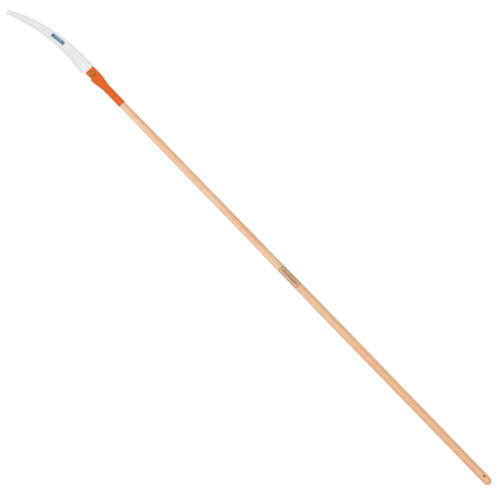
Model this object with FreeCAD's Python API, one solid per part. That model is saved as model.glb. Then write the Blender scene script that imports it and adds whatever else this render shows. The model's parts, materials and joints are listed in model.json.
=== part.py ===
import FreeCAD, Part
import math
import os

# A pole pruning saw: a long turned ash pole, a steel tube socket driven over its thin end and
# pressed flat at the mouth, and a curved saw blade held in the flat mouth by one bolt.
#
# Frame, in millimetres. X runs along the pole's axis from the butt to the blade, Y points to
# the side that the teeth are on, and Z is square to the flat of the blade, so the saw lies flat.
# The origin is the middle of the hang hole, on the pole's axis.

Vector = FreeCAD.Vector
ORIGIN = Vector(0, 0, 0)
AXIS_X = Vector(1, 0, 0)
AXIS_Y = Vector(0, 1, 0)
AXIS_Z = Vector(0, 0, 1)

# Pole
BUTT_X = -41.5
BUTT_DOME = 17.5
DOME_STEPS = 4
GRIP_R = 17.0
GRIP_END_X = 378.0
BELLY = (690.0, 17.4)
WAIST = (1187.0, 15.85)
TAPER = (1640.0, 14.8)
SHOULDER = (1880.0, 14.15)
NECK_R = 13.4
NECK_X = 1985.0
POLE_END_X = 2075.0
POLE_END_CHAMFER = 2.0
HANG_HOLE_R = 4.75
HANG_HOLE_TILT = 17.0
HANG_HOLE_SINK = 1.0

# Socket
TUBE_R = 15.0
TUBE_WALL = 1.5
SOCKET_REAR_X = 1994.5
FLATTEN_START_X = 2077.0
FLATTEN_END_X = 2138.0
MOUTH_X = 2179.0
REAR_CHAMFER = 0.4
LOFT_STEPS = 10
ROUND_END_FLAT = 0.3
TRIM_START_X = 2144.5
TRIM_Y = 18.1
TRIM_CORNER_R = 5.0

# Blade
BLADE_T = 1.5
SPINE_Y = -24.0
SPINE_ARC_X = 2233.0
SPINE_ARC_R = 672.0
TIP_SPINE_X = 2562.0
TIP_TOOTH_X = 2555.5
TOOTH_ARC_CENTRE = Vector(2290.0, 682.0, 0)
TOOTH_ARC_R = 658.0
HEEL_X = 2194.5
HEEL_FOOT_X = 2183.0
TANG_REAR_X = 2146.0
TANG_SPINE_Y = -19.5
TANG_TOOTH_Y = 18.0
SHOULDER_GAP = 0.6
TANG_CORNER_R = 4.0
SHOULDER_R = 1.5
TIP_CORNER_R = 3.0
HEEL_CORNER_R = 1.0
SPINE_CHAMFER = 0.2
TIP_HOLE_R = 3.0
TIP_HOLE_INSET = 6.5
TIP_HOLE_ACROSS = 0.42

# Teeth: cut on the pull stroke, sharpened by filing across the blade at alternate angles
TOOTH_PITCH = 25.4 / 6
TOOTH_DEPTH = 3.9
TOOTH_FIRST = 5.0
TOOTH_COUNT = 84
TOOTH_LAND = 0.2
GULLET_FLAT = 0.5
FRONT_LEAN = 0.7
FILE_ANGLE = 24.0
FILE_OVERRUN = 1.0

# Blade bolt, M8 by 20, with its washers and nut
BOLT_X = 2157.5
BOLT_Y = -3.0
BOLT_R = 3.95
BOLT_LENGTH = 20.0
BOLT_END_CHAMFER = 0.8
BOLT_HOLE_R = 4.25
HEX_FLATS = 13.0
HEAD_HEIGHT = 5.3
NUT_HEIGHT = 6.5
NUT_BORE_R = 4.0
HEX_CHAMFER_ANGLE = 30.0
WASHER_R = 9.0
WASHER_BORE_R = 4.2
WASHER_T = 1.6
WASHER_CHAMFER = 0.25
SPRING_R = 7.05
SPRING_BORE_R = 4.15
SPRING_T = 2.0
SPRING_CHAMFER = 0.1
SPRING_SLIT = 1.0
SPRING_SLIT_TURN = 20.0

# Pole screws: one from each side, staggered along the pole
SCREW_FRONT_X = 2037.0
SCREW_BACK_X = 2017.0
SCREW_R = 2.0
SCREW_HOLE_R = 2.3
SCREW_LENGTH = 16.0
SCREW_POINT = 4.0
SCREW_HEAD_R = 4.3
SCREW_HEAD_H = 2.6
SCREW_HEAD_EDGE = 1.0
SCREW_CROWN_TURN = math.radians(45)
RECESS_WIDTH = 1.1
RECESS_SPAN = 4.6
RECESS_DEPTH = 1.8

# Labels: thin films stuck on, the one on the pole over a skin of glue
FILM_T = 0.15
GLUE_T = 0.02
BLADE_LABEL = (62.0, 16.0)
BLADE_LABEL_CENTRE = Vector(2347.0, 3.0, 0)
BLADE_LABEL_TURN = 7.7
BLADE_LABEL_CORNER_R = 3.0
POLE_LABEL_START_X = 1019.0
POLE_LABEL_END_X = 1120.0
POLE_LABEL_HALF_ANGLE = 56.0

# Worked out from the dimensions above
PLY_OUTER_Z = BLADE_T / 2 + TUBE_WALL
SPINE_ARC_CENTRE = Vector(SPINE_ARC_X, SPINE_Y + SPINE_ARC_R, 0)
HEAD_UNDER_Z = PLY_OUTER_Z + WASHER_T
NUT_FACE_Z = -(PLY_OUTER_Z + WASHER_T + SPRING_T)
CUT_PAST = 5.0
SAME_PLACE = 1e-6


def on_arc(centre, radius, x):
    """The point at x on the lower half of a circle."""
    return Vector(x, centre.y - math.sqrt(radius ** 2 - (x - centre.x) ** 2), 0)


def arc_between(centre, radius, x_start, x_end):
    middle = on_arc(centre, radius, (x_start + x_end) / 2)
    ends = (on_arc(centre, radius, x_start), on_arc(centre, radius, x_end))
    return Part.Arc(ends[0], middle, ends[1]).toShape()


def rod(radius, base, direction, length):
    return Part.makeCylinder(radius, length, base, direction)


def upright_edge(solid, point):
    """The edge along Z that passes through point."""
    for edge in solid.Edges:
        starts = [vertex.Point for vertex in edge.Vertexes]
        gaps = [math.hypot(p.x - point.x, p.y - point.y) for p in starts]
        if max(gaps) < SAME_PLACE:
            return edge
    raise ValueError("no upright edge at " + str(point))


def round_corners(solid, corners):
    """Rounds upright edges; corners pairs each edge's point with its radius."""
    for point, radius in corners:
        solid = solid.makeFillet(radius, [upright_edge(solid, point)])
    return solid


# ---------------------------------------------------------------- pole

def pole_outline():
    """Half of the pole's lengthwise section: domed butt, straight grip, belly, taper, shaved neck."""
    butt = Vector(BUTT_X, 0, 0)
    rim = []
    for i in range(DOME_STEPS + 1):
        turn = math.pi / 2 * i / DOME_STEPS
        rim.append(Vector(BUTT_X + BUTT_DOME * (1 - math.cos(turn)), GRIP_R * math.sin(turn), 0))
    dome = Part.BSplineCurve()
    dome.interpolate(Points=rim, InitialTangent=AXIS_Y, FinalTangent=AXIS_X)
    taper = Part.BSplineCurve()
    stations = [(GRIP_END_X, GRIP_R), BELLY, WAIST, TAPER, SHOULDER, (NECK_X, NECK_R)]
    points = [Vector(x, r, 0) for x, r in stations]
    taper.interpolate(Points=points, InitialTangent=AXIS_X, FinalTangent=AXIS_X)
    chamfer_start = Vector(POLE_END_X - POLE_END_CHAMFER, NECK_R, 0)
    chamfer_end = Vector(POLE_END_X, NECK_R - POLE_END_CHAMFER, 0)
    end_centre = Vector(POLE_END_X, 0, 0)
    grip = Part.makeLine(rim[-1], points[0])
    neck = Part.makePolygon([points[-1], chamfer_start, chamfer_end, end_centre, butt])
    return Part.Wire([dome.toShape(), grip, taper.toShape()] + neck.Edges)


def pole_blank():
    return Part.Face(pole_outline()).revolve(ORIGIN, AXIS_X, 360)


def hang_hole():
    """The drilled hole with a countersink at each mouth, tilted about the pole's axis."""
    reach = GRIP_R + CUT_PAST
    hole = rod(HANG_HOLE_R, Vector(0, 0, -reach), AXIS_Z, 2 * reach)
    sink_foot = GRIP_R - HANG_HOLE_SINK
    sink_height = HANG_HOLE_SINK + CUT_PAST
    for side in (1, -1):
        sink = Part.makeCone(HANG_HOLE_R, HANG_HOLE_R + sink_height, sink_height,
                             Vector(0, 0, side * sink_foot), Vector(0, 0, side))
        hole = hole.fuse(sink)
    hole.rotate(ORIGIN, AXIS_X, HANG_HOLE_TILT)
    return hole


# ---------------------------------------------------------------- socket

def tube_half_width(half_height):
    """Half the width of the tube once it is pressed to half_height: its girth stays the same."""
    return half_height + math.pi / 2 * (TUBE_R - half_height)


def flattened_section(x, half_height, inset):
    """The tube's outline at x, set in by inset: two flats joined by two round folds."""
    radius = half_height - inset
    fold_y = max(tube_half_width(half_height) - half_height, ROUND_END_FLAT)
    if half_height == TUBE_R:
        return round_section(x, radius)
    corners = [Vector(x, y, z) for y, z in
               ((-fold_y, radius), (fold_y, radius), (fold_y, -radius), (-fold_y, -radius))]
    right = Part.Arc(corners[1], Vector(x, fold_y + radius, 0), corners[2]).toShape()
    left = Part.Arc(corners[3], Vector(x, -fold_y - radius, 0), corners[0]).toShape()
    top = Part.makeLine(corners[0], corners[1])
    bottom = Part.makeLine(corners[2], corners[3])
    return Part.Wire([top, right, bottom, left])


def round_section(x, radius):
    """The round outline in the same four stretches as a flattened one."""
    half = ROUND_END_FLAT / radius
    turns = (math.pi / 2 + half, math.pi / 2 - half, -math.pi / 2 + half, -math.pi / 2 - half)
    middles = (math.pi / 2, 0, -math.pi / 2, math.pi)

    def at(turn):
        return Vector(x, radius * math.cos(turn), radius * math.sin(turn))

    arcs = []
    for i in range(4):
        arcs.append(Part.Arc(at(turns[i]), at(middles[i]), at(turns[(i + 1) % 4])).toShape())
    return Part.Wire(arcs)


def tube_body(inset):
    """The round tube, its pressed transition and its flat mouth, all set in by inset."""
    over = CUT_PAST if inset else 0.0
    flat_height = PLY_OUTER_Z
    sections = []
    for i in range(LOFT_STEPS + 1):
        share = i / LOFT_STEPS
        pressed = share * share * (3 - 2 * share)
        height = TUBE_R + (flat_height - TUBE_R) * pressed
        x = FLATTEN_START_X + (FLATTEN_END_X - FLATTEN_START_X) * share
        sections.append(flattened_section(x, height, inset))
    transition = Part.makeLoft(sections, True, False)
    rear_x = SOCKET_REAR_X - over
    tube = rod(TUBE_R - inset, Vector(rear_x, 0, 0), AXIS_X, FLATTEN_START_X - rear_x)
    mouth = Part.Face(sections[-1]).extrude(Vector(MOUTH_X + over - FLATTEN_END_X, 0, 0))
    return tube.fuse([transition, mouth])


def mouth_trim():
    """The strip sheared off the fold on the toothed side, which opens it for the blade's heel."""
    far_y = TUBE_R * math.pi
    top = PLY_OUTER_Z + CUT_PAST
    size = (MOUTH_X + CUT_PAST - TRIM_START_X, far_y - TRIM_Y, 2 * top)
    strip = Part.makeBox(*size, Vector(TRIM_START_X, TRIM_Y, -top))
    return round_corners(strip, [(Vector(TRIM_START_X, TRIM_Y, 0), TRIM_CORNER_R)])


def head_socket():
    outer = tube_body(0.0)
    rear_rim = [e for e in outer.Edges if abs(e.BoundBox.XMax - SOCKET_REAR_X) < SAME_PLACE]
    outer = outer.makeChamfer(REAR_CHAMFER, rear_rim)
    socket = outer.cut(tube_body(TUBE_WALL))
    holes = [mouth_trim(), bolt_hole()]
    for x, side in ((SCREW_FRONT_X, 1), (SCREW_BACK_X, -1)):
        holes.append(rod(SCREW_HOLE_R, Vector(x, 0, 0), Vector(0, 0, side), TUBE_R + CUT_PAST))
    return socket.cut(holes)


# ---------------------------------------------------------------- blade

def blade_outline():
    shoulder_x = MOUTH_X + SHOULDER_GAP
    tip_spine = on_arc(SPINE_ARC_CENTRE, SPINE_ARC_R, TIP_SPINE_X)
    tip_tooth = on_arc(TOOTH_ARC_CENTRE, TOOTH_ARC_R, TIP_TOOTH_X)
    heel = on_arc(TOOTH_ARC_CENTRE, TOOTH_ARC_R, HEEL_X)
    tang = Part.makePolygon([
        heel,
        Vector(HEEL_FOOT_X, TANG_TOOTH_Y, 0),
        Vector(TANG_REAR_X, TANG_TOOTH_Y, 0),
        Vector(TANG_REAR_X, TANG_SPINE_Y, 0),
        Vector(shoulder_x, TANG_SPINE_Y, 0),
        Vector(shoulder_x, SPINE_Y, 0),
        Vector(SPINE_ARC_X, SPINE_Y, 0),
    ])
    spine = arc_between(SPINE_ARC_CENTRE, SPINE_ARC_R, SPINE_ARC_X, TIP_SPINE_X)
    tip = Part.makeLine(tip_spine, tip_tooth)
    teeth = arc_between(TOOTH_ARC_CENTRE, TOOTH_ARC_R, TIP_TOOTH_X, HEEL_X)
    return Part.Wire(tang.Edges + [spine, tip, teeth])


def blade_corners():
    """Upright edges of the blade's plain outline, each with the radius it is rounded to."""
    shoulder_x = MOUTH_X + SHOULDER_GAP
    return [
        (Vector(TANG_REAR_X, TANG_TOOTH_Y, 0), TANG_CORNER_R),
        (Vector(TANG_REAR_X, TANG_SPINE_Y, 0), TANG_CORNER_R),
        (Vector(shoulder_x, SPINE_Y, 0), SHOULDER_R),
        (Vector(shoulder_x, TANG_SPINE_Y, 0), SHOULDER_R),
        (on_arc(SPINE_ARC_CENTRE, SPINE_ARC_R, TIP_SPINE_X), TIP_CORNER_R),
        (on_arc(TOOTH_ARC_CENTRE, TOOTH_ARC_R, TIP_TOOTH_X), HEEL_CORNER_R),
        (on_arc(TOOTH_ARC_CENTRE, TOOTH_ARC_R, HEEL_X), HEEL_CORNER_R),
    ]


def tooth_point(along, depth):
    """A point near the toothed edge: along it from the heel, and depth into the blade."""
    heel_turn = math.asin((HEEL_X - TOOTH_ARC_CENTRE.x) / TOOTH_ARC_R)
    turn = heel_turn + along / TOOTH_ARC_R
    radius = TOOTH_ARC_R + depth
    return TOOTH_ARC_CENTRE + Vector(radius * math.sin(turn), -radius * math.cos(turn), 0)


def gullet(index):
    """The notch ahead of one tooth, filed across the blade on a slant that alternates."""
    start = TOOTH_FIRST + index * TOOTH_PITCH
    back_top = start + TOOTH_LAND
    front_top = start + TOOTH_PITCH
    root_end = front_top - FRONT_LEAN
    root_start = root_end - GULLET_FLAT
    outside = -FILE_OVERRUN / TOOTH_DEPTH
    corners = [
        tooth_point(back_top + outside * (root_start - back_top), -FILE_OVERRUN),
        tooth_point(root_start, TOOTH_DEPTH),
        tooth_point(root_end, TOOTH_DEPTH),
        tooth_point(front_top + outside * (root_end - front_top), -FILE_OVERRUN),
    ]
    height = BLADE_T + 2 * FILE_OVERRUN
    side = 1 if index % 2 else -1
    along = (tooth_point(front_top, 0) - tooth_point(start, 0)).normalize()
    stroke = along * (side * height * math.tan(math.radians(FILE_ANGLE))) + AXIS_Z * height
    face = Part.Face(Part.makePolygon(corners + corners[:1]))
    face.translate(stroke * -0.5)
    return face.extrude(stroke)


def bolt_hole():
    reach = PLY_OUTER_Z + CUT_PAST
    return rod(BOLT_HOLE_R, Vector(BOLT_X, BOLT_Y, -reach), AXIS_Z, 2 * reach)


def tip_hole():
    """The hole at the blade's tip, a little nearer the spine than the teeth."""
    spine = on_arc(SPINE_ARC_CENTRE, SPINE_ARC_R, TIP_SPINE_X)
    tooth = on_arc(TOOTH_ARC_CENTRE, TOOTH_ARC_R, TIP_TOOTH_X)
    across = tooth - spine
    inward = Vector(-across.y, across.x, 0).normalize()
    centre = spine + across * TIP_HOLE_ACROSS + inward * TIP_HOLE_INSET
    return rod(TIP_HOLE_R, centre - AXIS_Z * BLADE_T, AXIS_Z, 2 * BLADE_T)


def spine_edges(blade):
    """The long edges of the blade's back, on both faces."""
    edges = []
    for edge in blade.Edges:
        middle = edge.valueAt((edge.FirstParameter + edge.LastParameter) / 2)
        flat = abs(abs(middle.z) - BLADE_T / 2) < SAME_PLACE
        arc_gap = abs((Vector(middle.x, middle.y, 0) - SPINE_ARC_CENTRE).Length - SPINE_ARC_R)
        straight = abs(middle.y - SPINE_Y) < SAME_PLACE
        if flat and (straight or arc_gap < SAME_PLACE):
            edges.append(edge)
    return edges


def saw_blade():
    plate = Part.Face(blade_outline()).extrude(AXIS_Z * BLADE_T)
    plate.translate(AXIS_Z * (-BLADE_T / 2))
    plate = round_corners(plate, blade_corners())
    plate = plate.makeChamfer(SPINE_CHAMFER, spine_edges(plate))
    gullets = [gullet(i) for i in range(TOOTH_COUNT)]
    return plate.cut(gullets + [bolt_hole(), tip_hole()])


# ---------------------------------------------------------------- bolt, washers and nut

def hexagon(base_z, height):
    """A hexagonal prism with its corners rounded off by a cone at both ends."""
    across_corners = HEX_FLATS / math.cos(math.pi / 6)
    corners = []
    for i in range(7):
        turn = i * math.pi / 3
        corners.append(Vector(math.cos(turn), math.sin(turn), 0) * (across_corners / 2))
    prism = Part.Face(Part.makePolygon(corners)).extrude(AXIS_Z * height)
    drop = (across_corners / 2 - HEX_FLATS / 2) * math.tan(math.radians(HEX_CHAMFER_ANGLE))
    outline = [
        (0, 0),
        (HEX_FLATS / 2, 0),
        (across_corners / 2, drop),
        (across_corners / 2, height - drop),
        (HEX_FLATS / 2, height),
        (0, height),
        (0, 0),
    ]
    wire = Part.makePolygon([Vector(r, 0, z) for r, z in outline])
    barrel = Part.Face(wire).revolve(ORIGIN, AXIS_Z, 360)
    prism = prism.common(barrel)
    prism.translate(AXIS_Z * base_z)
    return prism


def ring(outer_r, bore_r, base_z, thickness, chamfer):
    outline = [
        (bore_r, 0),
        (outer_r - chamfer, 0),
        (outer_r, chamfer),
        (outer_r, thickness - chamfer),
        (outer_r - chamfer, thickness),
        (bore_r, thickness),
        (bore_r, 0),
    ]
    wire = Part.makePolygon([Vector(r, 0, z + base_z) for r, z in outline])
    return Part.Face(wire).revolve(ORIGIN, AXIS_Z, 360)


def to_bolt(solid):
    """Moves a fastener made on the Z axis to the bolt's place."""
    solid.translate(Vector(BOLT_X, BOLT_Y, 0))
    return solid


def blade_bolt():
    head = hexagon(HEAD_UNDER_Z, HEAD_HEIGHT)
    end_z = HEAD_UNDER_Z - BOLT_LENGTH
    shank = rod(BOLT_R, Vector(0, 0, end_z), AXIS_Z, BOLT_LENGTH)
    end_edge = [e for e in shank.Edges if abs(e.BoundBox.ZMax - end_z) < SAME_PLACE]
    shank = shank.makeChamfer(BOLT_END_CHAMFER, end_edge)
    return to_bolt(head.fuse(shank))


def blade_nut():
    nut = hexagon(NUT_FACE_Z - NUT_HEIGHT, NUT_HEIGHT)
    below = Vector(0, 0, NUT_FACE_Z - NUT_HEIGHT - CUT_PAST)
    bore = rod(NUT_BORE_R, below, AXIS_Z, NUT_HEIGHT + 2 * CUT_PAST)
    return to_bolt(nut.cut(bore))


def head_washer():
    return to_bolt(ring(WASHER_R, WASHER_BORE_R, PLY_OUTER_Z, WASHER_T, WASHER_CHAMFER))


def nut_washer():
    return to_bolt(ring(WASHER_R, WASHER_BORE_R, -PLY_OUTER_Z - WASHER_T, WASHER_T, WASHER_CHAMFER))


def spring_washer():
    washer = ring(SPRING_R, SPRING_BORE_R, NUT_FACE_Z, SPRING_T, SPRING_CHAMFER)
    slit_height = SPRING_T + 2 * CUT_PAST
    slit = Part.makeBox(SPRING_R + CUT_PAST, SPRING_SLIT, slit_height)
    slit.translate(Vector(0, -SPRING_SLIT / 2, -slit_height / 2))
    slit.rotate(ORIGIN, AXIS_X, SPRING_SLIT_TURN)
    slit.translate(AXIS_Z * (NUT_FACE_Z + SPRING_T / 2))
    return to_bolt(washer.cut(slit))


# ---------------------------------------------------------------- pole screws

def screw_body():
    """A pan head wood screw on the Z axis with the underside of its head at zero."""
    point_z = -SCREW_LENGTH
    outline = [
        Vector(0, 0, point_z),
        Vector(SCREW_R, 0, point_z + SCREW_POINT),
        Vector(SCREW_R, 0, 0),
        Vector(SCREW_HEAD_R, 0, 0),
        Vector(SCREW_HEAD_R, 0, SCREW_HEAD_EDGE),
    ]
    top = Vector(0, 0, SCREW_HEAD_H)
    crown_rise = (SCREW_HEAD_H - SCREW_HEAD_EDGE) * math.sin(SCREW_CROWN_TURN)
    crown_x = SCREW_HEAD_R * math.cos(SCREW_CROWN_TURN)
    crown = Vector(crown_x, 0, SCREW_HEAD_EDGE + crown_rise)
    sides = Part.makePolygon(outline).Edges
    dome = Part.Arc(outline[-1], crown, top).toShape()
    core = Part.makeLine(top, outline[0])
    return Part.Face(Part.Wire(sides + [dome, core])).revolve(ORIGIN, AXIS_Z, 360)


def cross_recess():
    depth_z = SCREW_HEAD_H - RECESS_DEPTH
    slots = []
    for size in ((RECESS_SPAN, RECESS_WIDTH), (RECESS_WIDTH, RECESS_SPAN)):
        corner = Vector(-size[0] / 2, -size[1] / 2, depth_z)
        slots.append(Part.makeBox(size[0], size[1], RECESS_DEPTH + CUT_PAST, corner))
    return slots[0].fuse(slots[1])


def place_screw(solid, x, side):
    """Seats a screw made on the Z axis on the tube's outer line at x; side is +1 or -1."""
    if side < 0:
        solid.rotate(ORIGIN, AXIS_X, 180)
    solid.translate(Vector(x, 0, side * TUBE_R))
    return solid


def pole_screw(x, side):
    return place_screw(screw_body().cut(cross_recess()), x, side)


# ---------------------------------------------------------------- labels

def blade_label():
    length, width = BLADE_LABEL
    corner = Vector(-length / 2, -width / 2, 0)
    film = Part.makeBox(length, width, FILM_T, corner)
    corners = [(Vector(sx * length / 2, sy * width / 2, 0), BLADE_LABEL_CORNER_R)
               for sx in (-1, 1) for sy in (-1, 1)]
    film = round_corners(film, corners)
    film.rotate(ORIGIN, AXIS_Z, BLADE_LABEL_TURN)
    film.translate(BLADE_LABEL_CENTRE + AXIS_Z * (BLADE_T / 2))
    return film


def pole_radius_at(blank, x):
    """The pole's radius at x: how much of a spoke from the axis lies in the wood."""
    spoke = Part.makeLine(Vector(x, 0, 0), Vector(x, 0, 2 * GRIP_R))
    return spoke.common(blank).Length


def pole_label(blank):
    """A film wrapped over the upper side of the pole."""
    foot = []
    for x in (POLE_LABEL_START_X, POLE_LABEL_END_X):
        foot.append(Vector(x, 0, pole_radius_at(blank, x) + GLUE_T))
    top = [point + AXIS_Z * FILM_T for point in reversed(foot)]
    section = Part.Face(Part.makePolygon(foot + top + foot[:1]))
    section.rotate(ORIGIN, AXIS_X, -POLE_LABEL_HALF_ANGLE)
    return section.revolve(ORIGIN, AXIS_X, 2 * POLE_LABEL_HALF_ANGLE)


def main():
    blank = pole_blank()
    bodies = [place_screw(screw_body(), x, side)
              for x, side in ((SCREW_FRONT_X, 1), (SCREW_BACK_X, -1))]
    nodes = {
        "pole": blank.cut([hang_hole()] + bodies),
        "head_socket": head_socket(),
        "saw_blade": saw_blade(),
        "blade_bolt": blade_bolt(),
        "head_washer": head_washer(),
        "nut_washer": nut_washer(),
        "spring_washer": spring_washer(),
        "blade_nut": blade_nut(),
        "pole_screw_front": pole_screw(SCREW_FRONT_X, 1),
        "pole_screw_back": pole_screw(SCREW_BACK_X, -1),
        "blade_label": blade_label(),
        "pole_label": pole_label(blank),
    }
    os.makedirs("parts", exist_ok=True)
    for name, shape in nodes.items():
        solids = shape.Solids
        if len(solids) != 1 or not shape.isValid():
            raise ValueError(name + " should be one valid solid, got " + str(len(solids)))
        shape.exportStep("parts/" + name + ".step")
        print(name, "volume", round(shape.Volume, 2), "mm3")


main()
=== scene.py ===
import json
import math

import bmesh
import bpy
import numpy as np
from mathutils import Matrix, Vector


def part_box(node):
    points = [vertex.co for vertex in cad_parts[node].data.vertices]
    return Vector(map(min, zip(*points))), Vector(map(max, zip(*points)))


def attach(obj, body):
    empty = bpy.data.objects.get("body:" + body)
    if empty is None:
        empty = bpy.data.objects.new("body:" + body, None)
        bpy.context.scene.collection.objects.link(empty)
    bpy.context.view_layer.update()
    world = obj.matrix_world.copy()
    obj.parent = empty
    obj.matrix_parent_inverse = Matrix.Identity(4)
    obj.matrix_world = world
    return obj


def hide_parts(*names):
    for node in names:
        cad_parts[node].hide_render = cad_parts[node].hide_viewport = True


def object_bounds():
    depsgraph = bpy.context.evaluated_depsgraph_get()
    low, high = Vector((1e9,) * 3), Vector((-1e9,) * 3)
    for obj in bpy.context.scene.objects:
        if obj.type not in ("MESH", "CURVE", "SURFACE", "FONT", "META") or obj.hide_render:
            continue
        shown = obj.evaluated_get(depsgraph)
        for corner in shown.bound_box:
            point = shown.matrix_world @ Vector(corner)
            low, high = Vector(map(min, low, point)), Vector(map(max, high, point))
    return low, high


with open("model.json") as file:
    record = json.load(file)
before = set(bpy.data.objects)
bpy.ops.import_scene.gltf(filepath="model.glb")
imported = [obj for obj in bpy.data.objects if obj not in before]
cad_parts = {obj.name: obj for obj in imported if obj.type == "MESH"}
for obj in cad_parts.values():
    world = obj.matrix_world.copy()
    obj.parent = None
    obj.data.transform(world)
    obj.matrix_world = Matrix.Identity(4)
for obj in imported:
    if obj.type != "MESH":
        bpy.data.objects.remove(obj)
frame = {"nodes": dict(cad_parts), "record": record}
cad_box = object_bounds()

# A pole pruning saw, lying flat on a white floor and seen straight from above.
# Lengths are in metres, in the CAD frame: X along the pole towards the blade, Y towards the teeth,
# Z square to the blade. Places come from the frame; the values below are sizes and looks.

# Pole; a station is a place along it and its radius there. The hang hole is widened over the
# last HOLE_SINK under the surface, and the pole's rings are closer together beside it.
BUTT_DOME = 0.0175
GRIP_R = 0.017
POLE_STATIONS = ((0.378, GRIP_R), (0.690, 0.0174), (1.187, 0.01585),
                 (1.640, 0.0148), (1.880, 0.01415), (1.985, 0.0134))
POLE_END_CHAMFER = 0.002
POLE_SIDES = 128
DOME_RINGS = 16
TAPER_RINGS = 130
HOLE_SINK = 0.002
HOLE_SIDES = 72
HOLE_RING_ZONE = 0.009
HOLE_RING_STEP = 0.0005

# Socket; FLATTEN is where the round tube starts to change and where it is pressed flat
TUBE_R = 0.015
TUBE_WALL = 0.0015
FLATTEN = (2.077, 2.138)
TRIM_X = 2.1445
TRIM_Y = 0.0181
TRIM_CORNER_R = 0.005
TRIM_CORNER_STEPS = 12
BOLT_HOLE_R = 0.00425
SCREW_HOLE_R = 0.0023
SOCKET_HOLE_SIDES = 64
SOCKET_EDGE_R = 0.00025
SOCKET_ROUND_ABOVE = math.radians(50)
SOCKET_SIDES = 192
SOCKET_STEP = 0.0016

# Bolt and nut, M8; a thread's crest and root are the shares of its pitch that are flat
BOLT_R = 0.00395
THREAD_PITCH = 0.00125
THREAD_DEPTH = 0.00072
THREAD_CREST = 0.15
THREAD_ROOT = 0.22
THREAD_CLEARANCE = 0.00006
THREAD_FADE = 0.0012
THREAD_STEPS = 14
HEX_FLATS = 0.013
HEX_CHAMFER = math.radians(30)
HEX_SIDES = 96
HEAD_HEIGHT = 0.0053
BOLT_END_CHAMFER = 0.0008
NUT_MOUTH_R = 0.0043

# Labels
BLADE_LABEL_TURN = math.radians(7.7)
BLADE_LABEL_SIZE = (0.062, 0.016)
POLE_LABEL_HALF_ANGLE = math.radians(56)
POLE_LABEL_CORNER_R = 0.004
LABEL_GLUE = 0.00002
LABEL_FILM = 0.00012
LABEL_COLUMNS = 64
LABEL_ROWS = 48
LABEL_RIM_CROWD = 0.25

# Blade
BLADE_T = 0.0015
TOOTH_ARC_CENTRE = (2.290, 0.682)
TOOTH_ARC_R = 0.658
TOOTH_DEPTH = 0.0039
SPINE_ARC_CENTRE = (2.233, 0.648)
SPINE_ARC_R = 0.672

# Camera: straight down, with the pole running from the upper left to the lower right
VIEW_CENTRE = (1.2493, 0.0372)
VIEW_WIDTH = 1.925
VIEW_RIGHT = Vector((-0.6961, -0.7179, 0.0))
VIEW_UP = Vector((0.7179, -0.6961, 0.0))
LENS = 100.0
SENSOR = 36.0

# Every new mesh
EDGE_SEGMENTS = 3
SMOOTH_BELOW = math.radians(25)
SHORTEST_EDGE = 6e-6


# ---------------------------------------------------------------- mesh helpers

def grid_mesh(name, rows, closed_rows=False):
    """A mesh from equal rings of points. The last ring joins the first, or both get a face."""
    sides = len(rows[0])
    points = [point for row in rows for point in row]
    faces = []
    last = len(rows) if closed_rows else len(rows) - 1
    for i in range(last):
        here = i * sides
        there = (i + 1) % len(rows) * sides
        for j in range(sides):
            k = (j + 1) % sides
            faces.append((here + j, here + k, there + k, there + j))
    if not closed_rows:
        end = (len(rows) - 1) * sides
        faces.append(tuple(range(sides - 1, -1, -1)))
        faces.append(tuple(range(end, end + sides)))
    mesh = bpy.data.meshes.new(name)
    mesh.from_pydata([tuple(p) for p in points], [], faces)
    face_outwards(mesh)
    return mesh


def face_outwards(mesh):
    """Points every face outwards."""
    work = bmesh.new()
    work.from_mesh(mesh)
    bmesh.ops.recalc_face_normals(work, faces=work.faces)
    work.to_mesh(mesh)
    work.free()


def close_short_edges(mesh):
    """Closes up edges too short for the exported file, which would leave flat slivers there."""
    work = bmesh.new()
    work.from_mesh(mesh)
    bmesh.ops.dissolve_degenerate(work, dist=SHORTEST_EDGE, edges=work.edges)
    bmesh.ops.remove_doubles(work, verts=work.verts, dist=SHORTEST_EDGE)
    work.to_mesh(mesh)
    work.free()


def add_piece(name, mesh):
    piece = bpy.data.objects.new(name, mesh)
    bpy.context.scene.collection.objects.link(piece)
    return piece


def apply_modifiers(piece):
    graph = bpy.context.evaluated_depsgraph_get()
    mesh = bpy.data.meshes.new_from_object(piece.evaluated_get(graph), depsgraph=graph)
    mesh.name = piece.data.name
    piece.modifiers.clear()
    piece.data = mesh


def carve(piece, cutters):
    """Cuts the cutters out of the piece, one after another, and removes them."""
    for cutter in cutters:
        cut = piece.modifiers.new(cutter.name, "BOOLEAN")
        cut.operation = "DIFFERENCE"
        cut.solver = "EXACT"
        cut.object = cutter
        apply_modifiers(piece)
        bpy.data.objects.remove(cutter)


def round_edges(piece, radius, above):
    """Rounds the edges that turn by more than above."""
    bevel = piece.modifiers.new("edges", "BEVEL")
    bevel.width = radius
    bevel.segments = EDGE_SEGMENTS
    bevel.limit_method = "ANGLE"
    bevel.angle_limit = above
    apply_modifiers(piece)


def shade_smooth(mesh):
    mesh.shade_smooth()
    mesh.set_sharp_from_angle(angle=SMOOTH_BELOW)


def lathe_cutter(name, outline, axis, middle, sides):
    """A cutter turned about axis through middle, from (radius, height) pairs."""
    turn = Vector((0, 0, 1)).rotation_difference(axis).to_matrix()
    rows = []
    for radius, height in outline:
        row = []
        for angle in ring_angles(sides):
            point = Vector((radius * math.cos(angle), radius * math.sin(angle), height))
            row.append(turn @ point + middle)
        rows.append(row)
    return add_piece(name, grid_mesh(name, rows))


def finish_piece(piece, body, node, material):
    """Paints a new piece, puts it on its body and hides the CAD part it stands in for."""
    close_short_edges(piece.data)
    shade_smooth(piece.data)
    paint(piece, material)
    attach(piece, body)
    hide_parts(node)


def paint(piece, material):
    if not piece.material_slots:
        piece.data.materials.append(material)
    for slot in piece.material_slots:
        slot.material = material


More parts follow.
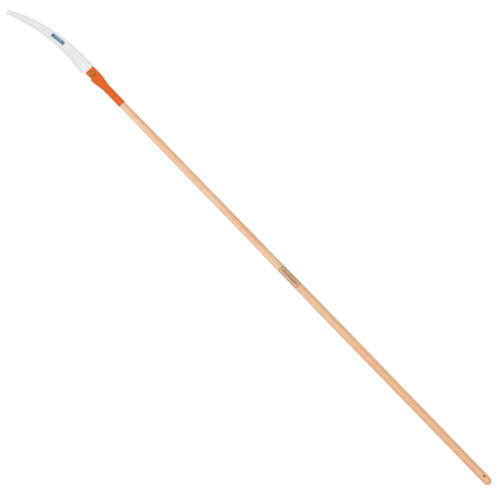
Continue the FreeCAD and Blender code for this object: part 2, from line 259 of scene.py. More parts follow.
def middle_of(node):
    low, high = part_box(node)
    return (low + high) / 2


def ring_angles(sides):
    return [2 * math.pi * i / sides for i in range(sides)]


# ---------------------------------------------------------------- pole

def spline_slopes(stations):
    """Slopes of the smooth curve through the stations that leaves both ends level."""
    count = len(stations)
    matrix = np.eye(count)
    right = np.zeros(count)
    for i in range(1, count - 1):
        before = stations[i][0] - stations[i - 1][0]
        after = stations[i + 1][0] - stations[i][0]
        rise_before = (stations[i][1] - stations[i - 1][1]) / before
        rise_after = (stations[i + 1][1] - stations[i][1]) / after
        matrix[i, i - 1:i + 2] = (after, 2 * (before + after), before)
        right[i] = 3 * (rise_before * after + rise_after * before)
    return np.linalg.solve(matrix, right)


STATION_SLOPES = spline_slopes(POLE_STATIONS)


def pole_radius(x):
    """The pole's radius at x, between the butt's dome and the end's chamfer."""
    if x <= POLE_STATIONS[0][0]:
        return POLE_STATIONS[0][1]
    if x >= POLE_STATIONS[-1][0]:
        return POLE_STATIONS[-1][1]
    i = max(n for n in range(len(POLE_STATIONS) - 1) if POLE_STATIONS[n][0] <= x)
    (x0, r0), (x1, r1) = POLE_STATIONS[i:i + 2]
    span = x1 - x0
    t = (x - x0) / span
    hermite = (1 + 2 * t) * (1 - t) ** 2 * r0 + t * t * (3 - 2 * t) * r1
    bend = t * (1 - t) ** 2 * STATION_SLOPES[i] - t * t * (1 - t) * STATION_SLOPES[i + 1]
    return hermite + span * bend


def pole_outline():
    """(x, radius) pairs from the butt to the end inside the socket."""
    low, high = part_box("pole")
    dome_x = low.x + BUTT_DOME
    outline = []
    for i in range(1, DOME_RINGS + 1):
        turn = math.pi / 2 * i / DOME_RINGS
        outline.append((dome_x - BUTT_DOME * math.cos(turn), GRIP_R * math.sin(turn)))
    steps = round(2 * HOLE_RING_ZONE / HOLE_RING_STEP)
    for i in range(steps + 1):
        outline.append((-HOLE_RING_ZONE + i * HOLE_RING_STEP, GRIP_R))
    chamfer_x = high.x - POLE_END_CHAMFER
    for x in np.linspace(2 * HOLE_RING_ZONE, chamfer_x, TAPER_RINGS):
        outline.append((float(x), pole_radius(float(x))))
    outline.append((high.x, outline[-1][1] - POLE_END_CHAMFER))
    return outline


def hang_hole():
    """The hang hole's axis, which passes through the origin, and its radius."""
    mount = next(m for m in frame["record"]["mounts"] if m["name"] == "hang_hole")
    return Vector(mount["axis"]), mount["dims"]["r_mm"] / 1000


def hang_hole_cutter():
    """The hole, widened where it breaks the surface."""
    axis, radius = hang_hole()
    foot = GRIP_R - HOLE_SINK
    reach = GRIP_R + 2 * HOLE_SINK
    mouth = radius + reach - foot
    outline = [(mouth, -reach), (radius, -foot), (radius, foot), (mouth, reach)]
    return lathe_cutter("hang_hole_cut", outline, axis, Vector(), HOLE_SIDES)


def make_pole(material):
    turns = ring_angles(POLE_SIDES)
    rows = [[(x, radius * math.cos(turn), radius * math.sin(turn)) for turn in turns]
            for x, radius in pole_outline()]
    piece = add_piece("ash_pole", grid_mesh("ash_pole", rows))
    carve(piece, [hang_hole_cutter()])
    finish_piece(piece, "saw", "pole", material)
    return piece


# ---------------------------------------------------------------- socket

def half_height(x):
    """Half the tube's height at x: round at the rear, pressed on the blade at the mouth."""
    pressed = BLADE_T / 2 + TUBE_WALL
    share = min(max((x - FLATTEN[0]) / (FLATTEN[1] - FLATTEN[0]), 0.0), 1.0)
    return TUBE_R + (pressed - TUBE_R) * share * share * (3 - 2 * share)


def tube_point(x, along, inset):
    """A point on the pressed tube: along is the distance round its girth, which stays the same."""
    height = half_height(x)
    flat = math.pi * (TUBE_R - height)
    fold = math.pi * height
    along = along % (2 * math.pi * TUBE_R)
    if along < flat:
        return (x, flat / 2 - along, height - inset)
    along -= flat
    if along < fold:
        turn = math.pi / 2 + along / height
        return (x, -flat / 2 + (height - inset) * math.cos(turn), (height - inset) * math.sin(turn))
    along -= fold
    if along < flat:
        return (x, -flat / 2 + along, inset - height)
    along -= flat
    turn = along / height - math.pi / 2
    return (x, flat / 2 + (height - inset) * math.cos(turn), (height - inset) * math.sin(turn))


def tube_row(x, inset):
    """Points round the tube; the start slides so that a point stays on the middle of each flat."""
    girth = 2 * math.pi * TUBE_R
    start = math.pi * (TUBE_R - half_height(x)) / 2
    return [tube_point(x, start + girth * i / SOCKET_SIDES, inset) for i in range(SOCKET_SIDES)]


def trim_cutter():
    """The strip sheared off the fold on the toothed side."""
    mouth_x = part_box("head_socket")[1].x
    far = Vector((mouth_x + TUBE_R, TUBE_R * math.pi, 0))
    centre = (TRIM_X + TRIM_CORNER_R, TRIM_Y + TRIM_CORNER_R)
    outline = [(TRIM_X, far.y), (far.x, far.y), (far.x, TRIM_Y)]
    for i in range(TRIM_CORNER_STEPS + 1):
        turn = -math.pi / 2 - math.pi / 2 * i / TRIM_CORNER_STEPS
        x = centre[0] + TRIM_CORNER_R * math.cos(turn)
        outline.append((x, centre[1] + TRIM_CORNER_R * math.sin(turn)))
    rows = [[(x, y, z) for x, y in outline] for z in (-TUBE_R, TUBE_R)]
    return add_piece("trim_cut", grid_mesh("trim_cut", rows))


def hole_cutter(name, radius, x, y, low, high):
    outline = [(radius, low), (radius, high)]
    return lathe_cutter(name, outline, Vector((0, 0, 1)), Vector((x, y, 0)), SOCKET_HOLE_SIDES)


def make_socket(material):
    low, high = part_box("head_socket")
    steps = round((high.x - low.x) / SOCKET_STEP)
    stations = [low.x + (high.x - low.x) * i / steps for i in range(steps + 1)]
    rows = [tube_row(x, 0.0) for x in stations]
    rows += [tube_row(x, TUBE_WALL) for x in reversed(stations)]
    piece = add_piece("tube_socket", grid_mesh("tube_socket", rows, closed_rows=True))
    bolt = middle_of("blade_bolt")
    front = middle_of("pole_screw_front")
    back = middle_of("pole_screw_back")
    reach = 2 * TUBE_R
    carve(piece, [
        trim_cutter(),
        hole_cutter("bolt_cut", BOLT_HOLE_R, bolt.x, bolt.y, -reach, reach),
        hole_cutter("front_cut", SCREW_HOLE_R, front.x, front.y, 0.0, reach),
        hole_cutter("back_cut", SCREW_HOLE_R, back.x, back.y, -reach, 0.0),
    ])
    round_edges(piece, SOCKET_EDGE_R, SOCKET_ROUND_ABOVE)
    finish_piece(piece, "saw", "head_socket", material)


# ---------------------------------------------------------------- bolt and nut

def hexagon_radius(angle):
    """From the middle of a hexagon to its side, in this direction."""
    return HEX_FLATS / 2 / math.cos(angle % (math.pi / 3) - math.pi / 6)


def hexagon_rows(low, high):
    """Four rings up the outside of a hexagon whose corners are turned off at both ends."""
    rows = [[], [], [], []]
    for angle in ring_angles(HEX_SIDES):
        corner = hexagon_radius(angle)
        drop = (corner - HEX_FLATS / 2) * math.tan(HEX_CHAMFER)
        rows[0].append((angle, HEX_FLATS / 2, low))
        rows[1].append((angle, corner, low + drop))
        rows[2].append((angle, corner, high - drop))
        rows[3].append((angle, HEX_FLATS / 2, high))
    return rows


def thread_radius(angle, z):
    """The outside of a right-hand thread; its phase is fixed in the frame, so bolt and nut mesh."""
    phase = (z / THREAD_PITCH - angle / (2 * math.pi)) % 1.0
    slope = abs(2 * phase - 1)
    depth = (slope - THREAD_CREST) / (1 - THREAD_CREST - THREAD_ROOT)
    return BOLT_R - THREAD_DEPTH * min(max(depth, 0.0), 1.0)


def thread_levels(low, high):
    """Heights from high down to low, THREAD_STEPS of them in each turn of the thread."""
    count = max(2, round((high - low) / THREAD_PITCH * THREAD_STEPS))
    return [low + (high - low) * i / count for i in range(count, -1, -1)]


def placed(rows, centre):
    """Turns rings of (angle, radius, height) about the bolt's axis into rings of points."""
    return [[(centre.x + r * math.cos(a), centre.y + r * math.sin(a), z) for a, r, z in row]
            for row in rows]


def make_bolt(material):
    """From the top of the head down; the thread starts shallow under the head."""
    low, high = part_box("blade_bolt")
    under = high.z - HEAD_HEIGHT
    rows = hexagon_rows(under, high.z)[::-1]
    for z in thread_levels(low.z, under):
        fade = min(1.0, (under - z) / THREAD_FADE)
        tip = BOLT_R - BOLT_END_CHAMFER + (z - low.z)
        row = []
        for angle in ring_angles(HEX_SIDES):
            cut = BOLT_R - (BOLT_R - thread_radius(angle, z)) * fade
            row.append((angle, min(cut, tip), z))
        rows.append(row)
    placed_rows = placed(rows, middle_of("blade_bolt"))
    piece = add_piece("hex_bolt", grid_mesh("hex_bolt", placed_rows))
    finish_piece(piece, "saw", "blade_bolt", material)


def make_nut(material):
    """Up the outside and back down through the threaded bore."""
    low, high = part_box("blade_nut")
    rows = hexagon_rows(low.z, high.z)
    for z in thread_levels(low.z, high.z):
        mouth = NUT_MOUTH_R - min(z - low.z, high.z - z)
        row = []
        for angle in ring_angles(HEX_SIDES):
            row.append((angle, max(thread_radius(angle, z) + THREAD_CLEARANCE, mouth), z))
        rows.append(row)
    placed_rows = placed(rows, middle_of("blade_nut"))
    piece = add_piece("hex_nut", grid_mesh("hex_nut", placed_rows, closed_rows=True))
    finish_piece(piece, "nut", "blade_nut", material)


# ---------------------------------------------------------------- pole label

def make_pole_label(material):
    """A film with round corners, wrapped over the upper side of the pole."""
    low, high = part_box("pole_label")
    half_width = POLE_LABEL_HALF_ANGLE * pole_radius(middle_of("pole_label").x)

    def corner_inset(across):
        """How far the film's ends stand back at this place across it, for the round corners."""
        into = max(0.0, abs(across) - (half_width - POLE_LABEL_CORNER_R))
        return POLE_LABEL_CORNER_R - math.sqrt(max(0.0, POLE_LABEL_CORNER_R ** 2 - into ** 2))

    def point(i, j, lift):
        """A point of the film; its rows crowd a little towards the long edges."""
        even = 2 * j / LABEL_ROWS - 1
        crowded = math.sin(math.pi * (j / LABEL_ROWS - 0.5))
        across = half_width * ((1 - LABEL_RIM_CROWD) * even + LABEL_RIM_CROWD * crowded)
        inset = corner_inset(across)
        x = low.x + inset + (high.x - low.x - 2 * inset) * i / LABEL_COLUMNS
        turn = across / half_width * POLE_LABEL_HALF_ANGLE
        radius = pole_radius(x) + lift
        return (x, radius * math.sin(turn), radius * math.cos(turn))

    rim = [(i, 0) for i in range(LABEL_COLUMNS)]
    rim += [(LABEL_COLUMNS, j) for j in range(LABEL_ROWS)]
    rim += [(i, LABEL_ROWS) for i in range(LABEL_COLUMNS, 0, -1)]
    rim += [(0, j) for j in range(LABEL_ROWS, 0, -1)]
    points = []
    for lift in (LABEL_GLUE + LABEL_FILM, LABEL_GLUE):
        points += [point(i, j, lift)
                   for j in range(LABEL_ROWS + 1) for i in range(LABEL_COLUMNS + 1)]
    layer = (LABEL_COLUMNS + 1) * (LABEL_ROWS + 1)

    def index(i, j, below):
        return below * layer + j * (LABEL_COLUMNS + 1) + i

    faces = []
    for below in (0, 1):
        for j in range(LABEL_ROWS):
            for i in range(LABEL_COLUMNS):
                faces.append((index(i, j, below), index(i + 1, j, below),
                              index(i + 1, j + 1, below), index(i, j + 1, below)))
    for n, here in enumerate(rim):
        there = rim[(n + 1) % len(rim)]
        faces.append((index(*here, 0), index(*there, 0), index(*there, 1), index(*here, 1)))
    mesh = bpy.data.meshes.new("pole_sticker")
    mesh.from_pydata(points, [], faces)
    face_outwards(mesh)
    piece = add_piece("pole_sticker", mesh)
    finish_piece(piece, "saw", "pole_label", material)
    return piece


# ---------------------------------------------------------------- material nodes

# Sockets of a Mix node that mixes colours, which have no names of their own
MIX_SHARE, MIX_A, MIX_B = 0, 6, 7
MIX_RESULT = 2
EDGE_SAMPLES = 6
EDGE_TURN = (0.98, 0.8)

# Noise lies mostly within the first range; the narrower one gives more contrast
NOISE_RANGE = (0.3, 0.7)
NOISE_MIDDLE = (0.35, 0.65)


class Graph:
    """A material's nodes, wired by short calls that take numbers, colours or other sockets."""

    def __init__(self, name):
        self.material = bpy.data.materials.new(name)
        self.material.use_nodes = True
        self.tree = self.material.node_tree
        self.tree.nodes.clear()
        self.shader = self.add("ShaderNodeBsdfPrincipled")
        output = self.add("ShaderNodeOutputMaterial")
        self.tree.links.new(self.shader.outputs[0], output.inputs["Surface"])
        self.place = self.add("ShaderNodeTexCoord").outputs["Object"]

    def add(self, kind, **settings):
        node = self.tree.nodes.new(kind)
        for key, value in settings.items():
            setattr(node, key, value)
        return node

    def feed(self, socket, value):
        if isinstance(value, bpy.types.NodeSocket):
            self.tree.links.new(value, socket)
        elif socket.type == "RGBA" and len(value) == 3:
            socket.default_value = (*value, 1.0)
        else:
            socket.default_value = value

    def calc(self, operation, *values):
        node = self.add("ShaderNodeMath", operation=operation)
        for socket, value in zip(node.inputs, values):
            self.feed(socket, value)
        return node.outputs[0]

    def plus(self, a, b):
        return self.calc("ADD", a, b)

    def times(self, a, b):
        return self.calc("MULTIPLY", a, b)

    def vector(self, operation, *values, out="Vector"):
        node = self.add("ShaderNodeVectorMath", operation=operation)
        for socket, value in zip(node.inputs, values):
            self.feed(socket, value)
        return node.outputs[out]

    def split(self, vector):
        node = self.add("ShaderNodeSeparateXYZ")
        self.feed(node.inputs[0], vector)
        return node.outputs

    def join(self, x, y, z):
        node = self.add("ShaderNodeCombineXYZ")
        for socket, value in zip(node.inputs, (x, y, z)):
            self.feed(socket, value)
        return node.outputs[0]

    def noise(self, place, scale, detail=2.0, roughness=0.5, out="Fac"):
        """Smooth noise; scale is one number, or one for each direction."""
        if isinstance(scale, tuple):
            place = self.vector("MULTIPLY", place, scale)
            scale = 1.0
        node = self.add("ShaderNodeTexNoise")
        self.feed(node.inputs["Vector"], place)
        self.feed(node.inputs["Scale"], scale)
        self.feed(node.inputs["Detail"], detail)
        self.feed(node.inputs["Roughness"], roughness)
        return node.outputs[out]

    def fit(self, value, low, high, to_low=0.0, to_high=1.0):
        """Maps low..high to to_low..to_high, held at both ends."""
        node = self.add("ShaderNodeMapRange")
        for socket, number in zip(node.inputs, (value, low, high, to_low, to_high)):
            self.feed(socket, number)
        return node.outputs[0]

    def spread(self, noise, to_low, to_high):
        """Noise spread over to_low..to_high."""
        return self.fit(noise, *NOISE_RANGE, to_low, to_high)

    def patches(self, noise):
        """Soft-edged patches of 0 and 1."""
        return self.fit(noise, *NOISE_MIDDLE)

    def curve(self, value, stops):
        """A ramp through (place, grey) stops."""
        ramp = self.add("ShaderNodeValToRGB")
        elements = ramp.color_ramp.elements
        while len(elements) < len(stops):
            elements.new(0.5)
        for element, (place, grey) in zip(elements, stops):
            element.position = place
            element.color = (grey, grey, grey, 1.0)
        self.feed(ramp.inputs[0], value)
        return ramp.outputs[0]

    def mix(self, share, a, b):
        node = self.add("ShaderNodeMix", data_type="RGBA")
        for index, value in ((MIX_SHARE, share), (MIX_A, a), (MIX_B, b)):
            self.feed(node.inputs[index], value)
        return node.outputs[MIX_RESULT]

    def tint(self, colour, value):
        """A colour made lighter or darker by a number."""
        node = self.add("ShaderNodeVectorMath", operation="SCALE")
        self.feed(node.inputs["Vector"], colour)
        self.feed(node.inputs["Scale"], value)
        return node.outputs["Vector"]

    def bump(self, height, distance):
        node = self.add("ShaderNodeBump")
        self.feed(node.inputs["Height"], height)
        self.feed(node.inputs["Distance"], distance)
        self.feed(node.inputs["Strength"], 1.0)
        return node.outputs["Normal"]

    def edges(self, radius):
        """1 on sharp edges, 0 away from them, from how far a rounded normal turns."""
        bevel = self.add("ShaderNodeBevel", samples=EDGE_SAMPLES)
        self.feed(bevel.inputs["Radius"], radius)
        normal = self.add("ShaderNodeNewGeometry").outputs["Normal"]
        same = self.vector("DOT_PRODUCT", bevel.outputs["Normal"], normal, out="Value")
        return self.fit(same, *EDGE_TURN)

    def inside(self, value, half, soft):
        """1 where value is within half of zero, with an edge soft wide."""
        return self.fit(self.calc("ABSOLUTE", value), half + soft / 2, half - soft / 2)

    def finish(self, **values):
        """Feeds the shader's inputs; an underscore stands for a space."""
        for key, value in values.items():
            self.feed(self.shader.inputs[key.replace("_", " ")], value)
        return self.material


# ---------------------------------------------------------------- wood

WOOD_PALE = (0.65, 0.408, 0.222)
WOOD_PINK = (0.665, 0.328, 0.158)
WOOD_TAN = (0.56, 0.335, 0.140)
WOOD_EARLY = (0.42, 0.21, 0.085)
WOOD_PORE = (0.20, 0.088, 0.033)
# Bare wood of the hang hole; its strong red is partly painted light, standing in for the warm light
# bounced about inside the hole
BARE_WOOD_AND_GLOW = (0.78, 0.34, 0.11)

# The rings run round a pith outside the pole, which wanders along it
PITH = (0.048, -0.034)
PITH_DRIFT = 0.022
RING_PITCH = 0.0027
RING_RIPPLE = 0.0016
RING_UNEVEN = 1.2

# Early wood across one ring: (share of the ring, amount)
EARLY_STOPS = ((0.0, 0.1), (0.05, 1.0), (0.2, 0.62), (0.5, 0.16), (0.93, 0.0), (1.0, 0.1))

# Noise layers in every material: scale in all directions or in each, detail, and roughness
WOOD_NOISE = {
    "drift": (1.3, 1.0),
    "ripple": ((4.0, 70.0, 70.0), 2.0),
    "spacing": (1.0, 1.0),
    "fibres": ((9.0, 1500.0, 1500.0), 3.0, 0.6),
    "streaks": ((1.6, 190.0, 190.0), 3.0, 0.6),
    "pores": ((55.0, 2600.0, 2600.0), 1.0),
    "slow": ((1.1, 16.0, 16.0), 2.0),
    "blush": ((6.0, 22.0, 22.0), 2.0),
    "handling": ((6.0, 30.0, 30.0), 3.0),
}

# How much of the early wood's and the pores' own colour shows, where the pores' noise starts
# and is full, and the depth of the grain
EARLY_SHARE = 0.38
PORE_SHARE = 0.6
PORES = (0.57, 0.66)
WOOD_RELIEF = 0.00006

# The wood's colour drifts along the pole: paler towards the head, pinker towards the butt and
# a little darker about the middle of its length
PALER_ALONG = (0.2, 1.9, -0.06, 0.10)
PINKER_ALONG = (0.2, 0.9, 0.06, 0.0)
POLE_MIDDLE_X = 1.1
DARKER_FROM_MIDDLE = (0.0, 0.7, 0.955, 1.0)

# The bare wood of the hang hole and its painted glow start this far outside it and are full this
# far outside
BORE_EDGE = (0.0022, 0.0006)


def wood_look(graph):
    """Colour, height and roughness of turned ash. The rings show as long lines along the pole,
    as arches where they are cut flat and as arcs on the butt."""
    x, y, z = graph.split(graph.place)
    drift = graph.noise(graph.join(x, 0.0, 0.0), *WOOD_NOISE["drift"], out="Color")
    drift = graph.split(drift)
    to_pith = []
    for axis, side in enumerate((y, z)):
        start = -PITH[axis] - PITH_DRIFT / 2
        to_pith.append(graph.plus(side, graph.calc("MULTIPLY_ADD", drift[axis], PITH_DRIFT, start)))
    radius = graph.vector("LENGTH", graph.join(0.0, *to_pith), out="Value")
    ripple = graph.noise(graph.place, *WOOD_NOISE["ripple"])
    rings = graph.times(graph.calc("MULTIPLY_ADD", ripple, RING_RIPPLE, radius), 1 / RING_PITCH)
    spacing = graph.noise(graph.join(graph.times(rings, 0.4), 7.0, 0.0), *WOOD_NOISE["spacing"])
    rings = graph.calc("MULTIPLY_ADD", spacing, RING_UNEVEN, rings)
    early = graph.curve(graph.calc("FRACT", rings), EARLY_STOPS)
    fibres = graph.noise(graph.place, *WOOD_NOISE["fibres"])
    streaks = graph.noise(graph.place, *WOOD_NOISE["streaks"])
    pores = graph.noise(graph.place, *WOOD_NOISE["pores"])
    pores = graph.times(graph.fit(pores, *PORES), early)
    slow = graph.noise(graph.place, *WOOD_NOISE["slow"])
    slow = graph.plus(slow, graph.fit(x, *PALER_ALONG))
    elsewhere = graph.vector("ADD", graph.place, (3.0, 1.0, 2.0))
    blush = graph.noise(elsewhere, *WOOD_NOISE["blush"])
    blush = graph.plus(blush, graph.fit(x, *PINKER_ALONG))
    from_middle = graph.calc("ABSOLUTE", graph.plus(x, -POLE_MIDDLE_X))
    colour = graph.mix(graph.patches(slow), WOOD_TAN, WOOD_PALE)
    colour = graph.mix(graph.fit(blush, 0.40, 0.60), colour, WOOD_PINK)
    colour = graph.tint(colour, graph.fit(from_middle, *DARKER_FROM_MIDDLE))
    colour = graph.mix(graph.times(early, EARLY_SHARE), colour, WOOD_EARLY)
    colour = graph.tint(colour, graph.spread(fibres, 0.93, 1.05))
    colour = graph.tint(colour, graph.spread(streaks, 0.94, 1.05))
    colour = graph.mix(graph.times(pores, PORE_SHARE), colour, WOOD_PORE)
    height = graph.plus(graph.times(pores, -1.0), graph.times(fibres, 0.35))
    height = graph.plus(height, graph.times(early, -0.35))
    rough = graph.plus(graph.times(early, 0.10), graph.spread(streaks, 0.40, 0.52))
    return colour, height, rough


def ash_wood():
    """Clear-lacquered ash, with bare wood in the hang hole, whose strong red is partly painted
    light: a glow for the light bounced about inside the hole.
    """
    graph = Graph("ash_wood")
    colour, height, rough = wood_look(graph)
    axis, radius = hang_hole()
    from_axis = graph.vector("CROSS_PRODUCT", graph.place, tuple(axis))
    from_axis = graph.vector("LENGTH", from_axis, out="Value")
    bore = graph.fit(from_axis, radius + BORE_EDGE[0], radius + BORE_EDGE[1])
    handling = graph.noise(graph.place, *WOOD_NOISE["handling"])
    return graph.finish(
        # In the hang hole: bare wood whose red is partly a painted glow of bounced light
        Base_Color=graph.mix(graph.times(bore, 0.95), colour, BARE_WOOD_AND_GLOW),
        Roughness=graph.plus(rough, graph.times(bore, 0.25)),
        Coat_Weight=graph.fit(bore, 0.0, 1.0, 0.9, 0.0),
        Coat_Roughness=graph.spread(handling, 0.22, 0.36),
        Normal=graph.bump(height, WOOD_RELIEF),
    )


# ---------------------------------------------------------------- paint and metals

ORANGE = (0.63, 0.090, 0.002)
ORANGE_FADED = (0.56, 0.100, 0.005)
ORANGE_DARKER = (0.44, 0.110, 0.010)
WORN_STEEL = (0.30, 0.25, 0.22)
WORN_WIDTH = 0.0012
PAINT_RELIEF = 0.00005
PAINT_NOISE = {
    "cloud": (30.0, 3.0),
    "grit": (5200.0, 2.0),
    "peel": (780.0, 2.0),
    "chips": (1300.0, 4.0, 0.7),
    "dirt": (160.0, 4.0, 0.6),
    "scuffs": ((90.0, 900.0, 900.0), 3.0),
}

# Darker, duller orange round a fastener: the most within the first distance of its middle line,
# none beyond the second, and how much the most is
DARKENING = {
    "blade_bolt": (0.009, 0.026, 0.75),
    "pole_screw_front": (0.004, 0.010, 0.85),
}


def darkening_round(graph, node):
    near, far, most = DARKENING[node]
    middle = middle_of(node)
    offset = graph.vector("SUBTRACT", graph.place, (middle.x, middle.y, 0.0))
    offset = graph.vector("MULTIPLY", offset, (1.0, 1.0, 0.0))
    return graph.fit(graph.vector("LENGTH", offset, out="Value"), near, far, most, 0.0)


def socket_paint():
    """Orange paint with a slight peel, darker and duller in patches round the bolt and the front
    screw, and worn off on sharp edges.
    """
    graph = Graph("socket_paint")
    cloud = graph.noise(graph.place, *PAINT_NOISE["cloud"])
    grit = graph.noise(graph.place, *PAINT_NOISE["grit"])
    peel = graph.noise(graph.place, *PAINT_NOISE["peel"])
    chips = graph.noise(graph.place, *PAINT_NOISE["chips"])
    dirt = graph.noise(graph.place, *PAINT_NOISE["dirt"])
    scuffs = graph.noise(graph.place, *PAINT_NOISE["scuffs"])
    worn = graph.times(graph.edges(WORN_WIDTH), graph.fit(chips, 0.42, 0.56))
    # Darker, duller orange in patches round the bolt and the front screw
    darker = graph.calc("MAXIMUM", *(darkening_round(graph, node) for node in DARKENING))
    darker = graph.times(darker, graph.fit(dirt, 0.3, 0.6, 0.4, 1.0))
    colour = graph.mix(graph.patches(cloud), ORANGE_FADED, ORANGE)
    colour = graph.mix(darker, colour, ORANGE_DARKER)
    colour = graph.tint(colour, graph.spread(grit, 0.96, 1.03))
    return graph.finish(
        Base_Color=graph.mix(graph.times(worn, 0.75), colour, WORN_STEEL),
        Metallic=graph.times(worn, 0.5),
        Roughness=graph.fit(scuffs, 0.35, 0.75, 0.30, 0.44),
        Specular_IOR_Level=0.17,
        Normal=graph.bump(graph.plus(peel, graph.times(grit, 0.12)), PAINT_RELIEF),
    )


STEEL = (0.55, 0.55, 0.547)
STEEL_DULL = (0.495, 0.495, 0.492)
STEEL_FILED = (0.575, 0.575, 0.575)
STEEL_NOISE = {
    "coarse": ((900.0, 14.0, 40.0), 3.0, 0.65),
    "fine": ((4200.0, 60.0, 40.0), 2.0),
    "stray": ((260.0, 9.0, 30.0), 2.0),
    "cloud": (28.0, 3.0),
}
STEEL_RELIEF = 0.000012
GULLET_R = TOOTH_ARC_R + TOOTH_DEPTH
GULLET_SOFT = 0.0004

# Painted shade: darker bands beside the spine and the teeth, for the shading of the ground edges
# and the shadows among the teeth; distances from each arc and the tint at each
SPINE_SHADE_BAND = (-0.009, -0.001, 1.0, 0.90)
TOOTH_SHADE_BAND = (0.004, 0.012, 0.91, 1.0)


def blade_steel():
    """Sheet steel ground across the blade, so the lines run from spine to teeth. The filed faces of
    the teeth are brighter.
    Bands along both edges are painted a little darker, as painted shade."""
    graph = Graph("blade_steel")
    x, y, z = graph.split(graph.place)
    arm = graph.vector("SUBTRACT", graph.place, (*TOOTH_ARC_CENTRE, 0.0))
    arm_x, arm_y, _ = graph.split(arm)
    flat_arm = graph.vector("MULTIPLY", arm, (1.0, 1.0, 0.0))
    reach = graph.vector("LENGTH", flat_arm, out="Value")
    turn = graph.calc("ARCTAN2", arm_x, graph.times(arm_y, -1.0))
    polar = graph.join(graph.times(turn, TOOTH_ARC_R), reach, z)
    coarse = graph.noise(polar, *STEEL_NOISE["coarse"])
    fine = graph.noise(polar, *STEEL_NOISE["fine"])
    stray = graph.noise(graph.vector("ADD", polar, (4.0, 0.0, 0.0)), *STEEL_NOISE["stray"])
    cloud = graph.noise(graph.place, *STEEL_NOISE["cloud"])
    lines = graph.plus(graph.times(coarse, 0.6), graph.times(fine, 0.4))
    normal = graph.add("ShaderNodeNewGeometry").outputs["True Normal"]
    upright = graph.calc("ABSOLUTE", graph.split(normal)[2])
    near_teeth = graph.fit(reach, GULLET_R + GULLET_SOFT, GULLET_R - GULLET_SOFT)
    filed = graph.times(near_teeth, graph.fit(upright, 0.97, 0.93))
    past_arc = graph.calc("MAXIMUM", graph.plus(x, -SPINE_ARC_CENTRE[0]), 0.0)
    bow = graph.join(past_arc, graph.plus(y, -SPINE_ARC_CENTRE[1]), 0.0)
    from_spine = graph.plus(graph.vector("LENGTH", bow, out="Value"), -SPINE_ARC_R)
    colour = graph.mix(graph.patches(lines), STEEL_DULL, STEEL)
    colour = graph.tint(colour, graph.spread(cloud, 0.97, 1.02))
    # Painted shade: darker bands along the spine and along the teeth
    colour = graph.tint(colour, graph.fit(from_spine, *SPINE_SHADE_BAND))
    colour = graph.tint(colour, graph.fit(graph.plus(reach, -TOOTH_ARC_R), *TOOTH_SHADE_BAND))
    rough = graph.spread(lines, 0.40, 0.28)
    rough = graph.plus(rough, graph.fit(stray, 0.55, 0.75, 0.0, -0.07))
    rough = graph.plus(rough, graph.times(filed, -0.08))
    return graph.finish(
        Base_Color=graph.mix(graph.times(filed, 0.8), colour, STEEL_FILED),
        Metallic=1.0,
        Roughness=rough,
        Normal=graph.bump(lines, STEEL_RELIEF),
    )


ZINC_PALE = (0.42, 0.160, 0.034)
ZINC_DEEP = (0.31, 0.116, 0.023)
ZINC_OLIVE = (0.28, 0.147, 0.029)
ZINC_EDGE = 0.0004
ZINC_RELIEF = 0.000006
ZINC_NOISE = {
    "cloud": (260.0, 3.0),
    "flow": (420.0, 2.0),
    "grain": (6000.0, 2.0),
}


def yellow_zinc():
    """Plated steel: a thin skin whose tint drifts towards olive, paler on the edges."""
    graph = Graph("yellow_zinc")
    cloud = graph.noise(graph.place, *ZINC_NOISE["cloud"])
    elsewhere = graph.vector("ADD", graph.place, (1.0, 2.0, 3.0))
    flow = graph.noise(elsewhere, *ZINC_NOISE["flow"])
    grain = graph.noise(graph.place, *ZINC_NOISE["grain"])
    colour = graph.mix(graph.patches(cloud), ZINC_PALE, ZINC_DEEP)
    colour = graph.mix(graph.fit(flow, 0.45, 0.72, 0.0, 0.6), colour, ZINC_OLIVE)
    colour = graph.mix(graph.times(graph.edges(ZINC_EDGE), 0.35), colour, ZINC_PALE)
    rough = graph.plus(graph.spread(cloud, 0.26, 0.38), graph.times(grain, 0.08))
    return graph.finish(
        Base_Color=colour,
        Metallic=1.0,
        Roughness=rough,
        Normal=graph.bump(grain, ZINC_RELIEF),
    )


# ---------------------------------------------------------------- printed labels

LABEL_BLUE = (0.045, 0.105, 0.190)
LABEL_BLUE_PALE = (0.035, 0.135, 0.270)
PRINT_WHITE = (0.48, 0.58, 0.66)
PRINT_BROWN = (0.13, 0.075, 0.042)
GUM = (0.33, 0.25, 0.165)
BLADE_FILM_NOISE = (900.0, 2.0)
POLE_FILM_NOISE = (700.0, 2.0)
BLADE_FILM_RELIEF = 0.00001
POLE_FILM_RELIEF = 0.000012

# The print on both labels: half sizes and places, measured from the label's middle. The first
# numbers of BLADE_BARS, BLADE_LINE and BLADE_PALE are shares of the label's half length.
BLADE_PRINT_SOFT = 0.00012
BLADE_BORDER_INSET = 0.0009
BLADE_BORDER_CORNER = 0.0018
BLADE_BARS = (0.62, 0.0011)
BLADE_BAR_PITCH = 0.0032
BLADE_LINE = (0.45, 0.00035)
BLADE_LINE_Y = -0.0040
BLADE_PALE = (0.55, 0.016)
POLE_PRINT_SOFT = 0.00015
POLE_FRAME_INSET = (0.0030, 0.0022)
POLE_FRAME_CORNER = 0.0035
POLE_FRAME_LINE = 0.0010
POLE_BARS = (0.0395, 0.0030)
POLE_BAR_PITCH = 0.0033
POLE_LINES = (0.030, 0.00045)
POLE_LINES_Y = 0.0062
BAR_SOFT = 0.05


